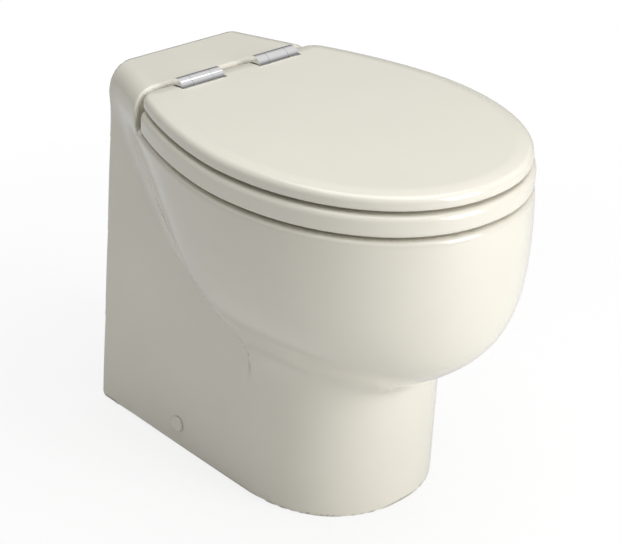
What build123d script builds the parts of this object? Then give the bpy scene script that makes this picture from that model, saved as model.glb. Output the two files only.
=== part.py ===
from build123d import *
import os
from math import cos, exp, log, pi, radians, sin, sqrt, tan

# Electric marine toilet with a full china skirt, a two-piece seat and a macerator pump
# in the open back. Millimetres. The front faces -Y, +Z is up, and the origin is on the
# floor at the middle of the overall box.

# Levels and lines that everything is set out from
rim_top_z = 383.6          # flat top of the china rim
deck_rise = 44.7           # raised rear deck above the rim
rear_y = 246.0             # plane of the open back, which stands against the wall
widest_y = -21.3           # line across the bowl, seat and lid at their widest
hinge_axis_y = 146.6
hinge_axis_rise = 42.9     # hinge pins above the rim

# Plan of the lid. Ahead of the widest line it is a superellipse, behind it a longer one.
lid_half_width = 176.6
lid_front = 217.8
lid_front_power = 2.12
lid_tail = 309.4
lid_tail_power = 1.635
lid_rear_reach = 11.9      # lid behind the hinge axis, and the radius of its rear edge
lid_corner_r = 16.0

# China outside
bowl_beyond_lid = 7.4      # the bowl at its fullest stands out this much past the lid
rim_beyond_lid = 4.6
bowl_full_down = 58.0      # depth below the rim at which the bowl is at its fullest
side_turn_down = 125.6     # depth at which the sides turn in, how fast, and how softly
side_turn_slope = 1.0
side_turn_soft = 18.0
front_turn_down = 169.6
front_turn_slope = 1.65
front_turn_soft = 20.0
tail_slope = 1.05          # how fast the bowl draws forward from the column on the way down
tail_curl = 0.02
tail_curl_down = 121.6
base_half_width = 118.2
base_front = 127.0
base_power = 2.2
rear_half_width = 115.8    # at the floor
rear_lean = 0.0395         # and this much less for each millimetre of height
column_power = 1.3
side_valley = 62.0         # breadth of the soft valley between bowl and column
front_valley = 20.0
deck_corner_r = 38.0
skirt_wall = 12.0
bowl_wall = 11.0
rim_wall = 12.0

# Recess in which the seat and lid lie
recess_gap = 4.6           # china clear of the seat's edge
recess_flare = 1.6
recess_lip_r = 6.0

# Bowl inside
bowl_mouth_half = 120.0
bowl_mouth_length = 150.0
bowl_mouth_y = -58.0
bowl_belly = 12.0          # the inside is this much wider below the rim
bowl_power = 0.75
bowl_plan_power = 2.2
sump_half = 30.0
sump_length = 33.0
sump_y = -20.0
sump_wall_below_bore = 3.0

# Bowl outlet and pump
pump_axis_z = 100.0
outlet_bore_r = 22.0
outlet_r = 32.0
outlet_end_y = 84.0

# Seat
seat_beyond_lid = 3.9
seat_rise = 4.1            # bumper height between rim and seat
seat_thick = 22.3
seat_edge_r = 5.0
seat_hole_half = 110.0
seat_hole_length = 140.0
seat_hole_y = -58.0
seat_hole_slope = 7.0

# Bumpers, set at shares of the lid's half-width and of its reach ahead
pad_r = 7.0
pad_side = 0.84
pad_nose_side = 0.63
seat_pad_back = 0.156
seat_pad_front = 0.652
lid_pad_back = 0.101
lid_pad_front = 0.624

# Lid
lid_rise = 4.2             # bumper height between seat and lid
lid_thick = 16.2
lid_crease_in = 21.0       # the flat top starts this far in from the edge
lid_edge_r = 6.5

# Hinges
hinge_half_gap = 56.3      # middle of each hinge from the centre line
knuckle_r = 11.5
post_length = 28.6         # fixed middle knuckle
leaf_knuckle_length = 15.4
knuckle_gap = 0.3
pin_r = 4.0
pin_clear = 0.06
notch_clear = 2.0
leaf_thick = 3.0
leaf_length = 24.0
leaf_bed = 0.3
leaf_screw_length = 11.0
leaf_screw_head_h = 1.4
stem_r = 7.0
post_flange_r = 14.0
post_flange_thick = 3.0
stud_r = 4.0
stud_length = 46.0
stud_hole_clear = 0.8
nut_r = 8.0
nut_thick = 7.0
wing_span = 34.0
wing_thick = 3.0
wing_drop = 6.0
washer_r = 12.0
washer_thick = 2.0

# Fixing to the floor
cap_r = 9.7
cap_stand = 2.6
fixing_y = 101.5
fixing_z = 29.2
fixing_r = 3.0
fixing_clear = 1.0
fixing_head_r = 5.5
fixing_head_h = 3.5
fixing_sink = 5.0
fixing_length = 30.0
bracket_thick = 3.0
bracket_width = 48.0
bracket_foot = 34.0
bracket_height = 46.0
floor_hole_r = 3.5
floor_hole_pitch = 28.0
bracket_clear = 0.3

# Pump and motor, all on one axis along Y
fit = 0.1                  # assembly clearance between rigid pieces
run = 0.06                 # running clearance on a radius
sleeve_wall = 4.0
sleeve_grip = 20.0
clamp_width = 9.0
clamp_thick = 1.0
worm_r = 3.2
worm_length = 14.0
neck_r = 28.0
neck_length = 24.0
chamber_r = 44.0
chamber_depth = 26.0
casing_wall = 4.0
flange_r = 58.0
flange_thick = 5.0
screw_circle_r = 52.5
screw_r = 2.0
screw_head_r = 3.6
screw_head_h = 2.6
cutter_plate_thick = 3.0
cutter_slots = 8
slot_half = 2.6
impeller_r = 40.0
impeller_hub_r = 12.0
impeller_disc = 3.0
vane_height = 9.0
vane_count = 4
vane_thick = 4.0
blade_thick = 2.5
blade_half = 7.0
blade_reach = 20.0
axial_gap = 1.2
shaft_r = 5.0
seal_r = 12.0
seal_length = 8.0
motor_r = 38.0
motor_wall = 2.5
motor_length = 78.0
motor_cap_thick = 8.0
bearing_r = 11.0
bearing_length = 7.0
armature_r = 26.0
armature_length = 46.0
magnet_thick = 6.0
commutator_r = 11.0
commutator_length = 12.0
brush_half = 3.0
cradle_width = 26.0
cradle_thick = 3.0
cradle_half = 46.0
foot_height = 9.0
foot_r = 6.0

# Discharge with its non-return valve
riser_x = 30.0
riser_r = 10.0
riser_wall = 2.5
riser_top_rise = 68.0
valve_half_x = 21.0
valve_half_y = 22.0
valve_height = 50.0
valve_wall = 4.0
seat_land_r = 15.0
seat_land_rise = 5.0
flap_r = 18.0
flap_thick = 3.0
flap_pin_r = 2.0
spigot_r = 19.0
spigot_bore_r = 15.5
spigot_rise = 30.0
spigot_end_y = 240.0
barb_height = 1.2
barb_pitch = 11.0
barb_count = 3
small_screw_r = 1.5
small_screw_head_r = 2.8
small_screw_head_h = 2.0
small_screw_bite = 3.0
cover_thick = 4.0
spigot_flange_thick = 4.0
spigot_flange_half = 24.0
spigot_screw_step = 17.5
hinge_barrel_half = 8.0

# Rinse water
panel_thick = 3.0
panel_drop = 96.0
panel_half = 78.0
valve_x = -46.0
water_z_down = 84.0
water_body_half = 14.0
water_body_length = 40.0
coil_r = 15.0
coil_height = 26.0
guide_r = 6.6
guide_wall = 1.2
plunger_r = 5.0
plunger_length = 14.0
plunger_stroke = 3.0
spring_wire = 0.8
spring_turns = 5
water_spigot_r = 6.6
water_bore_r = 4.4
hose_wall = 2.6
nozzle_down = 32.0
nozzle_r = 7.0
nozzle_flange_r = 13.0
nozzle_reach = 22.0
nozzle_flange_thick = 3.0
elbow_gap = 8.0
elbow_drop = 26.0
hose_lead = 18.6           # straight hose ahead of the valve before it turns
hose_overlap = 12.0        # hose pushed over a tail
inlet_end_y = 240.0

# Control box
box_x = 41.0
box_half = 28.0
box_height = 56.0
box_depth = 34.0
box_wall = 2.4
gland_r = 8.0
gland_bore_r = 4.0
gland_length = 18.0
gland_out = 15.0           # gland to the outer side of the box, clear of the hose below
gland_lip = 0.5            # inner end of the gland above the box's floor
box_below_bracket = 7.0
post_wall = 2.6
post_in = 6.0

# Levels worked out from the values above
deck_top_z = rim_top_z + deck_rise
hinge_axis_z = rim_top_z + hinge_axis_rise
seat_bottom_z = rim_top_z + seat_rise
seat_top_z = seat_bottom_z + seat_thick
lid_bottom_z = seat_top_z + lid_rise
lid_top_z = lid_bottom_z + lid_thick
lid_rear_y = hinge_axis_y + lid_rear_reach
shelf_z = rim_top_z - rim_wall
sump_floor_z = pump_axis_z - outlet_bore_r - sump_wall_below_bore
nozzle_z = rim_top_z - nozzle_down
nozzle_wall_y = bowl_mouth_y + bowl_mouth_length + bowl_wall + bowl_belly / 2
elbow_y = nozzle_wall_y + bowl_belly / 2 + elbow_gap

nodes = {}


def add(name, shape):
    nodes[name] = shape


def rod_x(r, x0, x1, y, z):
    return Pos((x0 + x1) / 2, y, z) * Rot(0, 90, 0) * Cylinder(r, abs(x1 - x0))


def rod_y(r, y0, y1, x=0.0, z=pump_axis_z):
    return Pos(x, (y0 + y1) / 2, z) * Rot(90, 0, 0) * Cylinder(r, abs(y1 - y0))


def rod_z(r, z0, z1, x, y):
    return Pos(x, y, (z0 + z1) / 2) * Cylinder(r, abs(z1 - z0))


def block(x0, x1, y0, y1, z0, z1):
    return Pos((x0 + x1) / 2, (y0 + y1) / 2, (z0 + z1) / 2) * Box(x1 - x0, y1 - y0, z1 - z0)


def both_sides(shape):
    return shape + mirror(shape, about=Plane.YZ)


def together(shapes):
    whole = shapes[0]
    for shape in shapes[1:]:
        whole = whole + shape
    return whole


def corners(a, b, half_a, half_b):
    return [(a + i * half_a, b + j * half_b) for i in (-1, 1) for j in (-1, 1)]


# Outlines

def super_radius(angle, half, length, power):
    """Distance from the centre to a superellipse, in the direction of the angle."""
    return (abs(cos(angle) / half) ** power + abs(sin(angle) / length) ** power) ** (-1 / power)


def tail_half_width(y, half, length, power):
    along = max(y - widest_y, 0) / length
    return half * max(1 - along ** power, 0) ** (1 / power)


def soft_max(p, q, breadth):
    near = max(breadth - abs(p - q), 0) / breadth
    return max(p, q) + near ** 3 * breadth / 6


def soft_ramp(height, softness):
    return softness * log(1 + exp(height / softness))


def round_in(height, r):
    """How far a quarter-round edge of radius r draws in at a height above its start."""
    return r - sqrt(max(r * r - max(height, 0) ** 2, 0))


front_angles = [radians(180 + 180 * i / 12) for i in range(1, 12)]


def smooth_curve(points, steps, closed=False):
    """Curve through the points. Every section of a loft passes the same steps, so that
    all of its curves are divided alike and the skin between them stays simple."""
    spots = [0.0]
    for step in steps:
        spots.append(spots[-1] + step)
    return Edge.make_spline([Vector(*p) for p in points], parameters=spots, periodic=closed)


def lid_half_at(y, offset):
    return tail_half_width(y, lid_half_width + offset, lid_tail + offset, lid_tail_power)


def plate_wire(z, offset, end_y, corner_r=lid_corner_r):
    """Outline of the lid, seat or recess: the lid's plan grown by an offset."""
    half = lid_half_width + offset
    front = [(super_radius(t, half, lid_front + offset, lid_front_power), t) for t in front_angles]
    front_points = [(r * cos(t), widest_y + r * sin(t), z) for r, t in front]
    turn_y = end_y - corner_r
    rise = turn_y - widest_y
    sides = [widest_y + rise * i / 4 for i in range(5)]
    side = [(lid_half_at(y, offset), y) for y in sides]
    for step in (45, 90):
        y = turn_y + corner_r * sin(radians(step))
        side.append((lid_half_at(y, offset) - corner_r * (1 - cos(radians(step))), y))
    right = [(x, y, z) for x, y in side]
    left = [(-x, y, z) for x, y in reversed(side)]
    corner = [0.3, 0.3]
    steps = corner + [1.0] * (len(sides) + len(front_angles)) + [1.0] * (len(sides) - 1) + corner
    curve = smooth_curve(left + front_points + right, steps)
    return Wire([curve, Line(right[-1], left[0])])


def china_half(z):
    """Half-widths and reaches of the bowl part of the china at a height."""
    down = rim_top_z - z
    near_rim = max(1 - down / bowl_full_down, 0)
    out = bowl_beyond_lid - (bowl_beyond_lid - rim_beyond_lid) * min(near_rim, 1) ** 2
    side_in = side_turn_slope * soft_ramp(down - side_turn_down, side_turn_soft)
    front_in = front_turn_slope * soft_ramp(down - front_turn_down, front_turn_soft)
    tail_in = tail_slope * down + tail_curl * max(down - tail_curl_down, 0) ** 2
    half = max(lid_half_width + out - side_in, 5)
    front = max(lid_front + out - front_in, 5)
    tail = max(lid_tail - tail_in, 5)
    return half, front, tail


def column_half(y, z):
    along = max(y - widest_y, 0) / (rear_y - widest_y)
    at_rear = rear_half_width - rear_lean * z
    return base_half_width - (base_half_width - at_rear) * along ** column_power


def china_wire(z, inset=0.0, end_y=rear_y, shift=0.0):
    """Outline of the china at height z, drawn in by an inset, and read at a lower level
    by the shift, which keeps the wall's thickness under the slope of the bowl."""
    level = max(z - shift, 0)
    half, front, tail = china_half(level)
    points = []
    for t in front_angles:
        bowl = super_radius(t, half, front, lid_front_power)
        base = super_radius(t, base_half_width, base_front, base_power)
        breadth = front_valley + (side_valley - front_valley) * cos(t) ** 2
        r = soft_max(bowl, base, breadth) - inset
        points.append((r * cos(t), widest_y + r * sin(t), z))
    side = []
    for i in range(7):
        y = widest_y + (end_y - widest_y) * i / 6
        bowl = tail_half_width(y, half, tail, lid_tail_power)
        x = soft_max(bowl, column_half(y, level), side_valley) - inset
        side.append((x, y))
    right = [(x, y, z) for x, y in side]
    left = [(-x, y, z) for x, y in reversed(side)]
    outline = left + points + right
    curve = smooth_curve(outline, [1.0] * (len(outline) - 1))
    return Wire([curve, Line(right[-1], left[0])])


head_seat_x = column_half(fixing_y, fixing_z) - fixing_sink


# China

def china_outside():
    turn_z = deck_top_z - deck_corner_r
    shares = (0, 0.26, 0.32, 0.36, 0.4, 0.44, 0.48, 0.52, 0.57, 0.62, 0.67, 0.73, 0.8, 0.88, 1)
    body = Solid.make_loft([china_wire(turn_z * s) for s in shares], ruled=True)
    steps = [deck_corner_r * sin(radians(t)) for t in (0, 18, 36, 54, 72, 90)]
    wires = [china_wire(turn_z + h, round_in(h, deck_corner_r)) for h in steps]
    top = Solid.make_loft(wires, ruled=True)
    return body + top


def china_hollow():
    """The space between the skirt and the bowl, open below and behind."""
    turn_z = deck_top_z - deck_corner_r
    low = -skirt_wall
    shares = (0, 0.33, 0.42, 0.52, 0.63, 0.78, 1)
    shift = skirt_wall * 0.6
    past = rear_y + skirt_wall
    wires = [china_wire(low + (turn_z - low) * s, skirt_wall, past, shift) for s in shares]
    body = Solid.make_loft(wires, ruled=True)
    r = deck_corner_r - skirt_wall
    steps = [r * sin(radians(t)) for t in (0, 45, 90)]
    wires = [china_wire(turn_z + h, skirt_wall + round_in(h, r), past, shift) for h in steps]
    top = Solid.make_loft(wires, ruled=True)
    return body + top


def bowl_loft(grow, top_z, floor_z):
    """Bowl inside, or with grow set to the wall, the bowl's own outer skin."""
    full_z = shelf_z - bowl_belly
    sections = []
    for share in (0, 0.04, 0.1, 0.18, 0.28, 0.4, 0.54, 0.68, 0.84, 1):
        z = floor_z + (full_z - floor_z) * share
        swell = share ** bowl_power
        half = sump_half + (bowl_mouth_half + bowl_belly - sump_half) * swell + grow
        length = sump_length + (bowl_mouth_length + bowl_belly / 2 - sump_length) * swell + grow
        y = sump_y + (bowl_mouth_y - sump_y) * share
        sections.append((z, half, length, y))
    sections.append((rim_top_z - 4, bowl_mouth_half + grow, bowl_mouth_length + grow, bowl_mouth_y))
    sections.append((top_z, bowl_mouth_half + grow, bowl_mouth_length + grow, bowl_mouth_y))
    wires = []
    for z, half, length, y in sections:
        turns = [2 * pi * i / 16 for i in range(16)]
        radii = [super_radius(t, half, length, bowl_plan_power) for t in turns]
        points = [(r * cos(t), y + r * sin(t), z) for r, t in zip(radii, turns)]
        wires.append(Wire([smooth_curve(points, [1.0] * len(points), True)]))
    return Solid.make_loft(wires, ruled=True)


def recess_cutter(grow=0.0, bottom_z=rim_top_z):
    """Everything above the rim that the seat and the lid need. The wall leans out a
    little on its way up and rolls over into the deck."""
    base = seat_beyond_lid + recess_gap + grow
    height = deck_top_z - rim_top_z
    wires = [plate_wire(bottom_z, base, lid_rear_y + recess_gap + grow)]
    for share in (0.3, 0.6):
        flare = recess_flare * share
        z = rim_top_z + height * share
        wires.append(plate_wire(z, base + flare, lid_rear_y + recess_gap + grow + flare / 2))
    for step in (0, 30, 60, 85):
        out = recess_flare + recess_lip_r * (1 - cos(radians(step)))
        z = deck_top_z - recess_lip_r * (1 - sin(radians(step)))
        wires.append(plate_wire(z, base + out, lid_rear_y + recess_gap + grow + out))
    last = recess_flare + recess_lip_r
    wires.append(plate_wire(deck_top_z + 14, base + last + 3, lid_rear_y + recess_gap + grow + last + 3))
    return Solid.make_loft(wires, ruled=True)


def china_body():
    hollow = china_hollow()
    hollow -= bowl_loft(bowl_wall, rim_top_z + 1, sump_floor_z - bowl_wall)
    hollow -= rod_y(outlet_r, sump_y, outlet_end_y)
    hollow -= recess_cutter(rim_wall, shelf_z)
    china = china_outside() - hollow
    china -= recess_cutter()
    china -= bowl_loft(0, rim_top_z + 5, sump_floor_z)
    china -= rod_y(outlet_bore_r, sump_y, outlet_end_y + 5)
    for side in (-1, 1):
        x = side * hinge_half_gap
        china -= rod_z(stud_r + stud_hole_clear, shelf_z - 5, rim_top_z + 5, x, hinge_axis_y)
        outer = side * (base_half_width + 10)
        inner = side * (base_half_width - skirt_wall - 12)
        china -= rod_x(fixing_r + fixing_clear, outer, inner, fixing_y, fixing_z)
        china -= rod_x(fixing_head_r + fixing_clear, outer, side * head_seat_x, fixing_y, fixing_z)
    china -= rod_y(nozzle_r + fit, bowl_mouth_y + bowl_mouth_length / 2, elbow_y, 0, nozzle_z)
    return china


add("china_body", china_body())


# Seat and lid

def plate_loft(base_z, thick, beyond, profile):
    """A plate on the lid's plan. Each step of the profile is a share of the thickness
    and how far the outline draws in there."""
    wires = []
    for share, inset in profile:
        end_y = lid_rear_y - inset
        wires.append(plate_wire(base_z + thick * share, beyond - inset, end_y))
    return Solid.make_loft(wires, ruled=True)


def hinge_notch(half, reach):
    """Clear space behind the reach line at both hinges, for posts and knuckles."""
    low = rim_top_z - 5
    high = deck_top_z + 15
    front = hinge_axis_y - reach
    back = hinge_axis_y + 40
    slot = block(hinge_half_gap - half, hinge_half_gap + half, front, back, low, high)
    return both_sides(slot)


def seat_ring():
    r = seat_edge_r
    profile = ((0, 0.6 * r), (0.1, 0.15 * r), (0.22, 0), (0.74, 0), (0.88, 0.25 * r),
               (0.96, 0.7 * r), (1, 1.4 * r))
    seat = plate_loft(seat_bottom_z, seat_thick, seat_beyond_lid, profile)
    wires = []
    for share in (-0.1, 0.5, 0.85, 1.1):
        grow = seat_hole_slope * max(share, 0) ** 3
        turns = [2 * pi * i / 20 for i in range(20)]
        half, length = seat_hole_half + grow, seat_hole_length + grow
        size = [(t, super_radius(t, half, length, bowl_plan_power)) for t in turns]
        z = seat_bottom_z + seat_thick * share
        points = [(r * cos(t), seat_hole_y + r * sin(t), z) for t, r in size]
        wires.append(Wire([smooth_curve(points, [1.0] * len(points), True)]))
    seat -= Solid.make_loft(wires, ruled=True)
    seat -= hinge_notch(post_flange_r + notch_clear, post_flange_r + notch_clear)
    seat -= both_sides(seat_leaf_space())
    for x, y in leaf_screw_places(seat_leaf_x):
        hole = rod_z(screw_r + fit, seat_leaf_z - 14, seat_top_z + 5, x, y)
        seat -= both_sides(hole)
    return seat


def lid_panel():
    c = lid_crease_in
    e = lid_edge_r
    profile = ((0, 0.3 * e), (0.09, 0.06 * e), (0.2, 0), (0.45, 0), (0.66, 0.25 * e),
               (0.8, 0.8 * e), (0.9, 0.54 * c), (0.97, 0.83 * c), (1, c))
    lid = plate_loft(lid_bottom_z, lid_thick, 0, profile)
    # The rear edge is round about the hinge axis, so that it turns clear of the deck.
    behind = block(-lid_half_width, lid_half_width, hinge_axis_y, rear_y, seat_top_z, deck_top_z + 20)
    behind -= rod_x(lid_rear_reach, -lid_half_width, lid_half_width, hinge_axis_y, hinge_axis_z)
    lid -= behind
    half = post_length / 2 + knuckle_gap + leaf_knuckle_length + notch_clear
    lid -= hinge_notch(half, knuckle_r + notch_clear)
    lid -= both_sides(lid_leaf_space())
    for x, y in leaf_screw_places(lid_leaf_x):
        hole = rod_z(screw_r + fit, lid_bottom_z - 5, lid_bottom_z + leaf_thick + 9, x, y)
        lid -= both_sides(hole)
    return lid


# Hinges. Each has a fixed middle knuckle on a post, the lid's knuckle outboard of it and
# the seat's knuckle inboard, all on one pin.

knuckle_offset = post_length / 2 + knuckle_gap + leaf_knuckle_length / 2
lid_leaf_x = hinge_half_gap + knuckle_offset
seat_leaf_x = hinge_half_gap - knuckle_offset
seat_leaf_z = seat_top_z - leaf_thick * 0.6
leaf_front_y = hinge_axis_y - knuckle_r - notch_clear - leaf_length


def leaf_screw_places(x):
    return [(x, leaf_front_y + leaf_length * share) for share in (0.25, 0.7)]


def leaf_box(x, z, grow, height):
    half = leaf_knuckle_length / 2 + grow
    return block(x - half, x + half, leaf_front_y - grow, hinge_axis_y, z, z + height)


def seat_leaf_space():
    space = leaf_box(seat_leaf_x, seat_leaf_z, leaf_bed, leaf_thick * 3)
    half = leaf_knuckle_length / 2 + leaf_bed
    return space + block(seat_leaf_x - half, seat_leaf_x + half, hinge_axis_y - 1,
                         hinge_axis_y + stem_r, seat_leaf_z, seat_leaf_z + leaf_thick * 3)


def lid_leaf_space():
    return leaf_box(lid_leaf_x, lid_bottom_z - leaf_thick, leaf_bed, leaf_thick * 2)


def knuckle(x, length, bore_r):
    ends = (x - length / 2, x + length / 2)
    barrel = rod_x(knuckle_r, *ends, hinge_axis_y, hinge_axis_z)
    return barrel, rod_x(bore_r, ends[0] - 1, ends[1] + 1, hinge_axis_y, hinge_axis_z)


def hinge_post():
    barrel, bore = knuckle(hinge_half_gap, post_length, pin_r + pin_clear)
    post = barrel + rod_z(stem_r, rim_top_z, hinge_axis_z, hinge_half_gap, hinge_axis_y)
    top = rim_top_z + post_flange_thick
    post += rod_z(post_flange_r, rim_top_z, top, hinge_half_gap, hinge_axis_y)
    return both_sides(post - bore)


def lid_hinge_leaf():
    barrel, bore = knuckle(lid_leaf_x, leaf_knuckle_length, pin_r + pin_clear)
    leaf = barrel + leaf_box(lid_leaf_x, lid_bottom_z, 0, leaf_thick)
    for x, y in leaf_screw_places(lid_leaf_x):
        leaf -= rod_z(screw_r + fit, lid_bottom_z - 1, lid_bottom_z + leaf_thick + 1, x, y)
    return both_sides(leaf - bore)


def seat_hinge_leaf():
    barrel, bore = knuckle(seat_leaf_x, leaf_knuckle_length, pin_r + pin_clear)
    half = leaf_knuckle_length / 2
    arm = block(seat_leaf_x - half, seat_leaf_x + half, hinge_axis_y - stem_r / 2,
                hinge_axis_y + stem_r / 2, seat_leaf_z, hinge_axis_z)
    leaf = barrel + arm + leaf_box(seat_leaf_x, seat_leaf_z, 0, leaf_thick)
    for x, y in leaf_screw_places(seat_leaf_x):
        leaf -= rod_z(screw_r + fit, seat_leaf_z - 1, seat_leaf_z + leaf_thick + 1, x, y)
    return both_sides(leaf - bore)


def hinge_pin():
    half = post_length / 2 + knuckle_gap + leaf_knuckle_length
    ends = (hinge_half_gap - half, hinge_half_gap + half)
    return both_sides(rod_x(pin_r, *ends, hinge_axis_y, hinge_axis_z))


def leaf_screws(x, head_z, up):
    """Pan-head screws with the head against the leaf and the shank towards up."""
    screws = []
    for place_x, y in leaf_screw_places(x):
        head = rod_z(screw_head_r, head_z - up * leaf_screw_head_h, head_z, place_x, y)
        shank = rod_z(screw_r, head_z, head_z + up * leaf_screw_length, place_x, y)
        screws.append(both_sides(head + shank))
    return together(screws)


def bumpers(back, front, z, height):
    """Two pads at each side: one abreast of the bowl, one towards its nose."""
    beside = rod_z(pad_r, z, z + height, lid_half_width * pad_side, widest_y + lid_front * back)
    nose = rod_z(pad_r, z, z + height, lid_half_width * pad_nose_side, widest_y - lid_front * front)
    return both_sides(beside + nose)


add("seat_ring", seat_ring())
add("lid_panel", lid_panel())
add("seat_bumpers", bumpers(seat_pad_back, seat_pad_front, rim_top_z, seat_rise))
add("lid_bumpers", bumpers(lid_pad_back, lid_pad_front, seat_top_z, lid_rise))
add("hinge_posts", hinge_post())
add("lid_hinge_leaves", lid_hinge_leaf())
add("seat_hinge_leaves", seat_hinge_leaf())
add("hinge_pins", hinge_pin())
add("lid_leaf_screws", leaf_screws(lid_leaf_x, lid_bottom_z, 1))
add("seat_leaf_screws", leaf_screws(seat_leaf_x, seat_leaf_z + leaf_thick, -1))


# Seat bolts under the rim, which also hold the bracket that carries the water valve and
# the control box

panel_front_y = hinge_axis_y + washer_r + 1
panel_rear_y = panel_front_y + panel_thick


def stud_circle(r, z0, z1):
    return both_sides(rod_z(r, z0, z1, hinge_half_gap, hinge_axis_y))


def service_bracket():
    top = shelf_z
    tab = block(-panel_half, panel_half, hinge_axis_y - washer_r, panel_rear_y, top - panel_thick, top)
    plate = block(-panel_half, panel_half, panel_front_y, panel_rear_y, top - panel_drop, top)
    bracket = tab + plate
    bracket -= stud_circle(stud_r + stud_hole_clear, top - 10, top + 5)
    bracket -= rod_y(water_spigot_r + fit, panel_front_y - 5, panel_rear_y + 5, valve_x, water_z)
    return bracket


def wing_nut():
    top = shelf_z - panel_thick - washer_thick
    nut = rod_z(nut_r, top - nut_thick, top, hinge_half_gap, hinge_axis_y)
    wing = block(hinge_half_gap - wing_span / 2, hinge_half_gap + wing_span / 2,
                 hinge_axis_y - wing_thick / 2, hinge_axis_y + wing_thick / 2,
                 top - nut_thick - wing_drop, top - 2)
    nut = nut + wing
    nut -= rod_z(stud_r + fit, top - nut_thick - wing_drop - 1, top + 1, hinge_half_gap, hinge_axis_y)
    return both_sides(nut)


water_z = shelf_z - water_z_down
washer_top = shelf_z - panel_thick
add("hinge_studs", stud_circle(stud_r, rim_top_z - stud_length, rim_top_z))
add("hinge_washers", stud_circle(washer_r, washer_top - washer_thick, washer_top)
    - stud_circle(stud_r + fit, washer_top - 10, washer_top + 5))
add("hinge_wing_nuts", wing_nut())
add("service_bracket", service_bracket())


# Side fixings to the floor

def side_cap():
    face = column_half(fixing_y - cap_r, 0) + fit
    cap = rod_x(cap_r, face, face + cap_stand, fixing_y, fixing_z)
    rim = cap.edges().filter_by(GeomType.CIRCLE).sort_by(Axis.X)[-1]
    return both_sides(fillet(rim, cap_stand * 0.8))


def side_screw():
    head = rod_x(fixing_head_r, head_seat_x, head_seat_x + fixing_head_h, fixing_y, fixing_z)
    shank = rod_x(fixing_r, head_seat_x - fixing_length, head_seat_x, fixing_y, fixing_z)
    return both_sides(head + shank)


bracket_ends = (fixing_y - bracket_width / 2, fixing_y + bracket_width / 2)
skirt_inside_x = min(column_half(y, bracket_height) for y in bracket_ends) - skirt_wall
bracket_face_x = skirt_inside_x - bracket_clear
floor_hole_x = bracket_face_x - bracket_foot / 2


def floor_bracket():
    y0, y1 = bracket_ends
    inner = bracket_face_x - bracket_thick
    bracket = block(inner, bracket_face_x, y0, y1, 0, bracket_height)
    bracket += block(bracket_face_x - bracket_foot, bracket_face_x, y0, y1, 0, bracket_thick)
    bracket += rod_x(fixing_r * 2, inner - 5, inner, fixing_y, fixing_z)
    bracket -= rod_x(fixing_r + fit, inner - 10, bracket_face_x + 5, fixing_y, fixing_z)
    for step in (-0.5, 0.5):
        y = fixing_y + floor_hole_pitch * step
        bracket -= rod_z(floor_hole_r, -1, bracket_thick + 1, floor_hole_x, y)
    return both_sides(bracket)


add("side_caps", side_cap())
add("side_screws", side_screw())
add("floor_brackets", floor_bracket())


# Macerator pump. Its places along Y follow one another from the bowl's outlet.

neck_y = outlet_end_y + 4
casing_y = neck_y + neck_length
chamber_y = casing_y + casing_wall
back_y = chamber_y + chamber_depth
motor_y = back_y + seal_length
motor_end_y = motor_y + motor_length
riser_y = chamber_y + chamber_depth / 2
riser_top_z = pump_axis_z + riser_top_rise
screw_angles = [radians(30 + 60 * i) for i in range(6)]


def screw_ring(r, y0, y1):
    places = [(screw_circle_r * cos(t), screw_circle_r * sin(t)) for t in screw_angles]
    return together([rod_y(r, y0, y1, x, pump_axis_z + z) for x, z in places])


def outlet_sleeve():
    grip = sleeve_grip
    outer = rod_y(outlet_r + fit + sleeve_wall, outlet_end_y - grip, outlet_end_y + 2)
    outer += rod_y(neck_r + fit + sleeve_wall, outlet_end_y + 2, neck_y + grip)
    outer -= rod_y(outlet_r + fit, outlet_end_y - grip - 1, outlet_end_y + 0.5)
    return outer - rod_y(neck_r + fit, outlet_end_y, neck_y + grip + 1)


def sleeve_clamp(r, y):
    half = clamp_width / 2
    band = rod_y(r + fit + clamp_thick, y - half, y + half)
    worm = rod_x(worm_r, -worm_length / 2, worm_length / 2, y, pump_axis_z + r + clamp_thick + worm_r)
    return band + worm - rod_y(r + fit, y - half - 1, y + half + 1)


def sleeve_clamps():
    bowl_end = sleeve_clamp(outlet_r + fit + sleeve_wall, outlet_end_y - sleeve_grip / 2)
    pump_end = sleeve_clamp(neck_r + fit + sleeve_wall, neck_y + sleeve_grip / 2)
    return bowl_end + pump_end


def pump_casing():
    casing = rod_y(neck_r, neck_y, casing_y + 1)
    casing += rod_y(chamber_r + casing_wall, casing_y, back_y)
    casing += rod_y(flange_r, back_y - flange_thick, back_y)
    casing += rod_z(riser_r + riser_wall, pump_axis_z, riser_top_z, riser_x, riser_y)
    casing -= rod_y(neck_r - casing_wall, neck_y - 1, chamber_y)
    casing -= rod_y(chamber_r, chamber_y, back_y + 1)
    casing -= rod_z(riser_r, pump_axis_z, riser_top_z + 1, riser_x, riser_y)
    return casing - screw_ring(screw_r + fit, back_y - flange_thick - 1, back_y + 1)


def pump_back_plate():
    plate = rod_y(flange_r, back_y, motor_y)
    plate -= rod_y(seal_r + fit, back_y - 1, motor_y + 1)
    plate -= screw_ring(screw_r + fit, back_y - 1, motor_y + 1)
    return plate - through_bolt_rods(screw_r + fit, motor_y - 5, motor_y + 1)


def cutter_plate():
    """Slotted disc that the blade wipes, in front of the impeller."""
    y1 = chamber_y + cutter_plate_thick
    plate = rod_y(chamber_r - fit, chamber_y, y1) - rod_y(impeller_hub_r, chamber_y - 1, y1 + 1)
    slot = block(impeller_hub_r + 3, neck_r - casing_wall - 1, chamber_y - 1, y1 + 1,
                 pump_axis_z - slot_half, pump_axis_z + slot_half)
    axis = Axis((0, 0, pump_axis_z), (0, 1, 0))
    for i in range(cutter_slots):
        plate -= slot.rotate(axis, 360 * i / cutter_slots)
    return plate


blade_y = chamber_y + cutter_plate_thick + axial_gap
impeller_y = blade_y + blade_thick


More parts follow.
